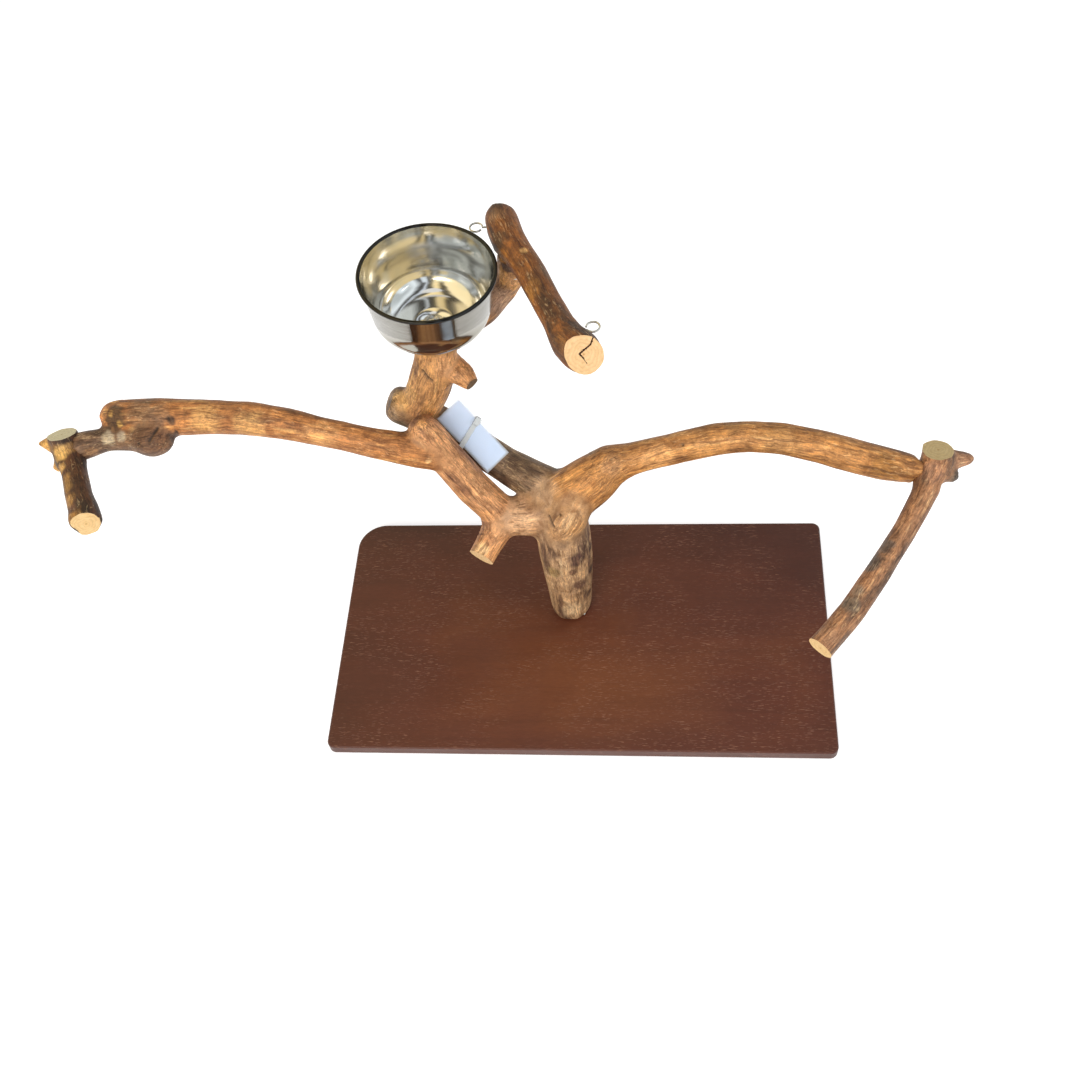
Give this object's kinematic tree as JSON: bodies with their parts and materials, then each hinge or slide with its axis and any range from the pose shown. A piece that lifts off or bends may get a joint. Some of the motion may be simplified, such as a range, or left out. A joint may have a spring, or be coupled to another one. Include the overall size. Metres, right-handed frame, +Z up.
{
  "type": "parrot play stand",
  "caption": "Tabletop bird play stand: a natural forked branch on a stained board, with cross perches on its limbs, a bolted steel food bowl, toy eyes and a blank hang tag.",
  "frame": {"origin": "middle of the board's footprint, on the surface that the rubber feet rest on", "axes": "+X along the board's long side to the viewer's right, +Y away from the board's front edge, +Z up"},
  "size_m": [0.8847, 0.332, 0.4372],
  "materials": {
    "stained_board": "dark mahogany stain, satin varnish",
    "foot_rubber": "matte",
    "zinc_steel": "zinc plated",
    "branch_wood": "natural bark, unfinished",
    "right_perch_wood": "natural bark, unfinished",
    "left_perch_wood": "natural bark, unfinished",
    "top_perch_wood": "natural bark, unfinished",
    "bowl_steel": "polished stainless",
    "bolt_steel": "stainless",
    "seat_rubber": "matte",
    "insert_brass": "plain",
    "eye_steel": "plated wire",
    "tag_card": "blank white card",
    "sleeve_film": "clear film",
    "tie_nylon": "natural nylon"
  },
  "bodies": {
    "stand": {"base_board": "stained_board", "rubber_feet": "foot_rubber", "trunk_lag_screw": "zinc_steel", "lag_washer": "zinc_steel", "main_branch": "branch_wood", "right_cross_perch": "right_perch_wood", "left_cross_perch": "left_perch_wood", "top_cross_perch": "top_perch_wood", "wood_screws": "zinc_steel", "dowel_screw": "zinc_steel", "seat_washer": "seat_rubber", "threaded_insert": "insert_brass", "toy_eyes": "eye_steel", "hang_tag": "tag_card", "tag_sleeve": "sleeve_film", "cable_tie": "tie_nylon"},
    "bowl_fixing": {"bowl_bolt": "bolt_steel", "bowl_washer": "bolt_steel"},
    "bowl": {"food_bowl": "bowl_steel"}
  },
  "joints": [
    {"name": "bolt_lift", "type": "slide", "parent": "stand", "child": "bowl_fixing", "axis": [0.0523, 0, 0.9986], "range_m": [0, 0.045]},
    {"name": "bowl_turn", "type": "hinge", "parent": "bowl_fixing", "child": "bowl", "pos_m": [-0.11508, 0.112, 0.36248], "axis": [0.0523, 0, 0.9986], "continuous": true}
  ]
}
